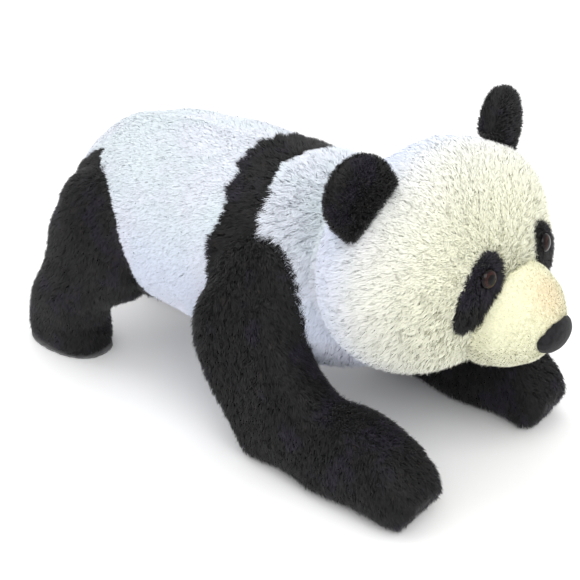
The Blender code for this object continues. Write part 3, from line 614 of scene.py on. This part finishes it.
def cheek_fold(points, normals):
    """A soft fold that runs down each cheek from the ear."""
    mirrored = np.stack([np.abs(points[:, 0]), points[:, 1], points[:, 2]], 1)
    away = np.full(len(points), 1.0)
    for start, end in zip(FOLD_LINE[:-1], FOLD_LINE[1:]):
        start, end = np.array(start), np.array(end)
        step = end - start
        t = np.clip((mirrored - start) @ step / (step @ step), 0.0, 1.0)
        away = np.minimum(away, np.linalg.norm(mirrored - start - t[:, None] * step, axis=1))
    crease = -FOLD_DEPTH * np.exp(-(away / FOLD_WIDTH) ** 2)
    return crease + WELT_HEIGHT * np.exp(-((away - WELT_AWAY) / WELT_WIDTH) ** 2)


# Round cores: centre, half sizes and, for the body, its fullness and slope.
BODY_CORE = ((0.0, 0.066, 0.220), (0.153, 0.273, 0.136), 0.5, 0.030)
NECK_CORE = ((0.0, -0.148, 0.242), (0.122, 0.056, 0.110))
HEAD_CORE = ((0.0, -0.222, 0.276), (0.178, 0.116, 0.137))
SHOULDER_CORE = ((0.120, -0.050, 0.198), (0.052, 0.080, 0.096))
HIP_CORE = ((0.104, 0.244, 0.196), (0.054, 0.086, 0.100))


def on_side(core, sign):
    """The round core of a limb on one side."""
    (x, y, z), radii = core
    return round_core((sign * x, y, z), radii)


TORSO = named("body_filling", "back_cover", "shoulder_band", "rump_cover", "belly_cover", "seat_cover",
              "collar_cover")
NECK = named("neck_filling", "neck_cover")
HEAD = named("head_filling", "crown_cover", "chin_cover", "cheek_cover")
MUZZLE = named("muzzle_filling", "muzzle_cover")

torso = skin("torso_skin", TORSO, WHITE_BACKING, rounds=10, grow=-0.0030, lumps=0.0022,
             core=round_core(*BODY_CORE))
neck = skin("neck_skin", NECK, WHITE_BACKING, grow=0.002, rounds=8,
            core=round_core(*NECK_CORE))
head = skin("head_skin", HEAD, HEAD_BACKING, rounds=10, grow=-0.0040, lumps=0.0018,
            shape=cheek_fold, core=round_core(*HEAD_CORE))
muzzle = skin("muzzle_skin", MUZZLE, MUZZLE_BACKING, voxel=0.004, rounds=8, grow=-0.0010)
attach(torso, "torso")
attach(neck, "neck")
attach(head, "head")
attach(muzzle, "head")

ears, forelegs, hindlegs = {}, {}, {}
for side, sign in SIDES:
    ears[side] = skin("ear_skin_" + side, ["ear_front_" + side, "ear_back_" + side], BLACK_BACKING,
                      voxel=0.003, grow=-0.0025)
    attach(ears[side], "ear_" + side)
    parts = ["foreleg_" + part + "_" + side for part in ("filling", "outer_cover", "inner_cover", "base")]
    forelegs[side] = skin("foreleg_skin_" + side, parts, BLACK_BACKING, grow=-0.0050,
                          lumps=0.0022, rounds=10, core=on_side(SHOULDER_CORE, sign))
    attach(forelegs[side], "foreleg_" + side)
    parts = ["hindleg_" + part + "_" + side for part in ("filling", "outer_cover", "inner_cover")]
    hindlegs[side] = skin("hindleg_skin_" + side, parts, BLACK_BACKING, grow=-0.0040,
                          lumps=0.0022, rounds=8, core=on_side(HIP_CORE, sign))
    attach(hindlegs[side], "hindleg_" + side)
tail = skin("tail_skin", ["tail_filling", "tail_cover"], WHITE_BACKING, voxel=0.0025,
            rounds=3, grow=-0.002)
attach(tail, "tail")


# ---------------------------------------------------------------- where the colours change

# The black and white edges on the photographed side, in metres: at each height Z, the Y of the
# shoulder band's front and rear edges and of the haunch's front edge.
BAND_HEIGHTS = (0.00, 0.135, 0.169, 0.201, 0.223, 0.264, 0.285, 0.298, 0.321, 0.345)
BAND_FRONTS = (-0.090, -0.110, -0.120, -0.111, -0.085, -0.069, -0.052, -0.043, -0.040, -0.012)
BAND_REARS = (0.02, 0.010, 0.005, 0.000, 0.010, 0.019, 0.012, 0.014, 0.024, 0.036)
HAUNCH_HEIGHTS = (0.00, 0.185, 0.203, 0.225, 0.250, 0.270, 0.290, 0.301)
HAUNCH_FRONTS = (0.165, 0.159, 0.162, 0.171, 0.179, 0.193, 0.223, 0.261)
HAUNCH_INNER = 0.078                    # the rump's white middle is twice this wide
BAND_BOTTOM = 0.11                      # the height where the shoulder band ends
WANDER = 0.0022                         # how far the edges stray
WANDER_SIZE = 0.012                     # and over what length


def on_black(points):
    """Where the torso's pile is black: a slanting shoulder band and a haunch on each side."""
    wander = waves(points, WANDER_SIZE, 5) * WANDER
    front = np.interp(points[:, 2], BAND_HEIGHTS, BAND_FRONTS)
    rear = np.interp(points[:, 2], BAND_HEIGHTS, BAND_REARS)
    band = (points[:, 1] > front + wander) & (points[:, 1] < rear + wander)
    band &= points[:, 2] > BAND_BOTTOM
    edge = np.interp(points[:, 2], HAUNCH_HEIGHTS, HAUNCH_FRONTS)
    haunch = (points[:, 1] > edge + wander) & (np.abs(points[:, 0]) > HAUNCH_INNER + wander)
    return band | haunch


def two_tone(obj, dark, second):
    """Gives the faces of a skin that lie where dark(points) is true the second finish."""
    mesh = obj.data
    mesh.materials.append(second)
    centres = np.zeros(len(mesh.polygons) * 3, np.float32)
    mesh.polygons.foreach_get("center", centres)
    index = dark(centres.reshape(-1, 3).astype(float)).astype(np.int32)
    mesh.polygons.foreach_set("material_index", index)
    mesh.update()


two_tone(torso, on_black, BLACK_BACKING)


# ---------------------------------------------------------------- which way the pile is brushed

def toward(direction):
    """A comb that runs one way."""
    return lambda points: np.broadcast_to(np.array(direction, float), points.shape)


def away_from(centre, drop=0.0):
    """A comb that runs away from a point and down."""
    centre = np.array(centre, float)
    return lambda points: unit(points - centre) + np.array([0.0, 0.0, -drop])


def torso_comb(points):
    """Back along the body, parting along the spine and falling down the sides."""
    part = np.sign(points[:, 0]) * (1.0 - ramp(np.abs(points[:, 0]), 0.0, 0.05)) * 0.5
    return np.stack([part, np.ones(len(points)), np.full(len(points), -0.75)], 1)


# ---------------------------------------------------------------- growing the pile

body_skins = {"torso": torso, "neck": neck, "head": head, "muzzle": muzzle, "tail": tail}
for side, _ in SIDES:
    body_skins["ear_" + side] = ears[side]
    body_skins["foreleg_" + side] = forelegs[side]
    body_skins["hindleg_" + side] = hindlegs[side]
trees = {key: tree_of(obj) for key, obj in body_skins.items()}


def hidden_in(key, *others):
    """How deep each point of one skin lies inside the others named."""
    return depth_inside(coordinates(body_skins[key].data), [trees[o] for o in others])


def patch_frame(side):
    """The eye patch's middle and its long, short and outward half axes, from its CAD node."""
    points = coordinates(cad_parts["eye_patch_" + side].data)
    middle = (points.max(0) + points.min(0)) / 2.0
    axes = np.linalg.svd(points - points.mean(0), full_matrices=False)[2]
    reach = [np.abs((points - middle) @ axis).max() for axis in axes]
    return middle, axes, reach


def inside_patch(points, margin):
    """Whether points of the head lie behind one of the eye patches."""
    found = np.zeros(len(points), bool)
    for side, _ in SIDES:
        middle, axes, reach = patch_frame(side)
        offset = points - middle
        long = (offset @ axes[0]) / (reach[0] + margin)
        short = (offset @ axes[1]) / (reach[1] + margin)
        found |= (long ** 2 + short ** 2 < 1.0) & (np.abs(offset @ axes[2]) < PATCH_DEPTH)
    return found


torso_hidden = hidden_in("torso", "neck", "head", "foreleg_left", "foreleg_right", "hindleg_left",
                         "hindleg_right")


def spine_scale(points):
    """Shorter pile along the spine seam."""
    return 0.55 + 0.45 * ramp(np.abs(points[:, 0]), 0.001, 0.008)


def short_at_floor(points):
    """Pile that is cropped towards the sole."""
    return 0.65 + 0.35 * ramp(points[:, 2], 0.006, 0.040)


def longer_at_cheek(points):
    """Muzzle pile that lengthens into the head's."""
    return 1.0 + 1.3 * ramp(points[:, 1], -0.350, -0.300)


def white_front(points, normals):
    """Where the chest's white pile grows."""
    return (points[:, 1] < CHEST_REAR) & ~on_black(points)


def white_rear(points, normals):
    """Where the back's white pile grows."""
    return (points[:, 1] >= CHEST_REAR) & ~on_black(points)


def clear_of_floor(points, normals):
    """Everywhere but on the faces that rest on the floor."""
    return ~((points[:, 2] < 0.010) & (normals[:, 2] < -0.6))


grow("back_pile", torso, BACK_PILE, torso_comb, WHITE_PILE, "white_plush", "torso", 11,
     keep=white_rear, scale=spine_scale, hidden=torso_hidden)
grow("chest_pile", torso, NECK_PILE, toward((0.0, 0.5, -0.9)), WHITE_PILE, "white_plush", "torso", 12,
     keep=white_front, hidden=torso_hidden)
grow("torso_black_pile", torso, LIMB_PILE, torso_comb, BLACK_PILE, "black_plush", "torso", 13,
     keep=lambda p, n: on_black(p), hidden=torso_hidden)
grow("neck_pile", neck, NECK_PILE, toward((0.0, 0.7, -0.7)), WHITE_PILE, "white_plush", "neck", 14,
     hidden=hidden_in("neck", "torso", "head"))
grow("head_pile", head, HEAD_PILE, away_from(NOSE_POINT, 0.45), HEAD_FUR, "cream_plush", "head", 15,
     keep=lambda p, n: ~inside_patch(p, -0.002), hidden=hidden_in("head", "torso", "muzzle"))
grow("muzzle_pile", muzzle, MUZZLE_PILE, away_from(NOSE_POINT), MUZZLE_FUR, "muzzle_plush", "head", 16,
     scale=longer_at_cheek, hidden=hidden_in("muzzle", "head"))
grow("tail_pile", tail, BACK_PILE, toward((0.0, 0.5, -0.8)), WHITE_PILE, "white_plush", "tail", 20)
for side, sign in SIDES:
    low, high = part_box("ear_front_" + side)
    base = ((low.x + high.x) / 2.0 - sign * 0.02, (low.y + high.y) / 2.0, low.z)
    grow("ear_pile_" + side, ears[side], EAR_PILE, away_from(base), BLACK_PILE, "black_plush",
         "ear_" + side, 17, hidden=hidden_in("ear_" + side, "head"))
    grow("foreleg_pile_" + side, forelegs[side], LIMB_PILE, toward((0.0, -0.5, -0.8)), BLACK_PILE,
         "black_plush", "foreleg_" + side, 18, keep=clear_of_floor,
         hidden=hidden_in("foreleg_" + side, "torso", "head"))
    grow("hindleg_pile_" + side, hindlegs[side], HINDLEG_PILE, toward((0.0, 0.3, -0.9)), BLACK_PILE,
         "black_plush", "hindleg_" + side, 19, keep=clear_of_floor, scale=short_at_floor,
         hidden=hidden_in("hindleg_" + side, "torso"))


# ---------------------------------------------------------------- face

def eye_frame(side):
    """The middle of the eye's rim, the way it looks, its radius and its dome's height.

    All come from the eye's CAD node."""
    points = coordinates(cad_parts["eye_" + side].data)
    middle = points.mean(0)
    sizes, axes = np.linalg.eigh(np.cov((points - middle).T))
    outward = axes[:, 2] if sizes[2] - sizes[1] > sizes[1] - sizes[0] else axes[:, 0]
    outward = outward * np.sign(-outward[1])
    along = (points - middle) @ outward
    away = np.linalg.norm(points - middle - along[:, None] * outward, axis=1)
    rim = along[away > away.max() * 0.98].mean()
    return middle + outward * rim, outward, away.max(), along.max() - rim


def eye_dome(side, seat, outward, radius, height):
    """The eye's smooth dome, closed behind by a flat back."""
    around, rings = 48, 12
    across = unit(np.cross(outward, (0.0, 0.0, 1.0)))
    up = np.cross(across, outward)
    turn = np.arange(around) * 2.0 * math.pi / around
    rise = np.arange(rings) / rings * math.pi / 2.0
    circle = np.cos(turn)[:, None] * across + np.sin(turn)[:, None] * up
    points = [seat + radius * math.cos(a) * circle + outward * height * math.sin(a) for a in rise]
    points = [*np.concatenate(points), seat + outward * height, seat - outward * DOME_SINK]
    faces = []
    for k in range(around):
        after = (k + 1) % around
        for ring in range(rings - 1):
            base = ring * around
            faces.append((base + k, base + after, base + around + after, base + around + k))
        base = (rings - 1) * around
        faces.append((base + k, base + after, rings * around))
        faces.append((after, k, rings * around + 1))
    mesh = bpy.data.meshes.new("eye_dome_" + side)
    mesh.from_pydata([tuple(p) for p in points], [], faces)
    mesh.polygons.foreach_set("use_smooth", np.ones(len(faces), bool))
    finish = glass_eye("glass_eye_" + side, tuple(seat + outward * height), tuple(outward))
    return add_piece("eye_dome_" + side, mesh, finish)


for side, _ in SIDES:
    seat, outward, radius, height = eye_frame(side)
    top = seat + outward * height
    dome = eye_dome(side, seat, outward, radius, height)
    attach(dome, "head")
    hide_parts("eye_" + side)
    patch = skin("eye_patch_skin_" + side, ["eye_patch_" + side], BLACK_BACKING, voxel=0.0015,
                 rounds=3)
    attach(patch, "head")
    grow("eye_patch_pile_" + side, patch, PATCH_PILE, away_from(tuple(top), 0.3), BLACK_PILE,
         "black_plush", "head", 21, keep=lambda p, n, t=top: np.linalg.norm(p - t, axis=1) > EYE_CLEARING)

nose = skin("nose_skin", ["nose"], VELOUR, voxel=0.0015, rounds=6)
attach(nose, "head")
for side, _ in SIDES:
    sole = skin("hindfoot_sole_skin_" + side, ["hindfoot_sole_" + side], SUEDE, voxel=0.0015,
                rounds=3, grow=-0.0015)
    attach(sole, "hindleg_" + side)


# ---------------------------------------------------------------- floor, light and camera

def floor():
    """A wide, plain, pale floor."""
    finish, _, shader = nodes_of("pale_floor")
    shader.inputs["Base Color"].default_value = (0.93, 0.93, 0.93, 1.0)
    shader.inputs["Roughness"].default_value = 0.9
    mesh = bpy.data.meshes.new("floor")
    half = 6.0
    corners = [(-half, -half, 0), (half, -half, 0), (half, half, 0), (-half, half, 0)]
    mesh.from_pydata(corners, [], [(0, 1, 2, 3)])
    obj = bpy.data.objects.new("floor", mesh)
    mesh.materials.append(finish)
    bpy.context.scene.collection.objects.link(obj)
    obj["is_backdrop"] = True


def area_light(name, place, target, power, size):
    """A soft square light."""
    data = bpy.data.lights.new(name, "AREA")
    data.energy = power
    data.size = size
    obj = bpy.data.objects.new(name, data)
    obj.location = place
    obj.rotation_euler = (Vector(target) - Vector(place)).to_track_quat("-Z", "Y").to_euler()
    bpy.context.scene.collection.objects.link(obj)


def sky(strength):
    """An even white surround."""
    world = bpy.data.worlds.new("studio")
    world.use_nodes = True
    world.node_tree.nodes["Background"].inputs["Color"].default_value = (1.0, 1.0, 1.0, 1.0)
    world.node_tree.nodes["Background"].inputs["Strength"].default_value = strength
    bpy.context.scene.world = world


def camera(azimuth, elevation, distance, focal, aim):
    """The camera, seen round and above its aim by two angles in degrees."""
    a, e = math.radians(azimuth), math.radians(elevation)
    back = Vector((math.sin(a) * math.cos(e), -math.cos(a) * math.cos(e), math.sin(e)))
    data = bpy.data.cameras.new("camera")
    data.lens = focal
    data.sensor_width = 36.0
    obj = bpy.data.objects.new("camera", data)
    obj.location = Vector(aim) + back * distance
    obj.rotation_euler = (-back).to_track_quat("-Z", "Y").to_euler()
    bpy.context.scene.collection.objects.link(obj)
    bpy.context.scene.camera = obj


floor()
sky(1.0)
area_light("key", (-1.4, -1.6, 2.2), (0.0, 0.0, 0.15), 40.0, 1.8)
area_light("top", (0.0, 0.6, 2.4), (0.0, 0.0, 0.15), 20.0, 2.0)
bpy.context.scene.view_settings.view_transform = "Standard"
camera(-50.0, 28.0, 1.8, 83.8, (-0.0026, 0.0031, 0.15))

low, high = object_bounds()
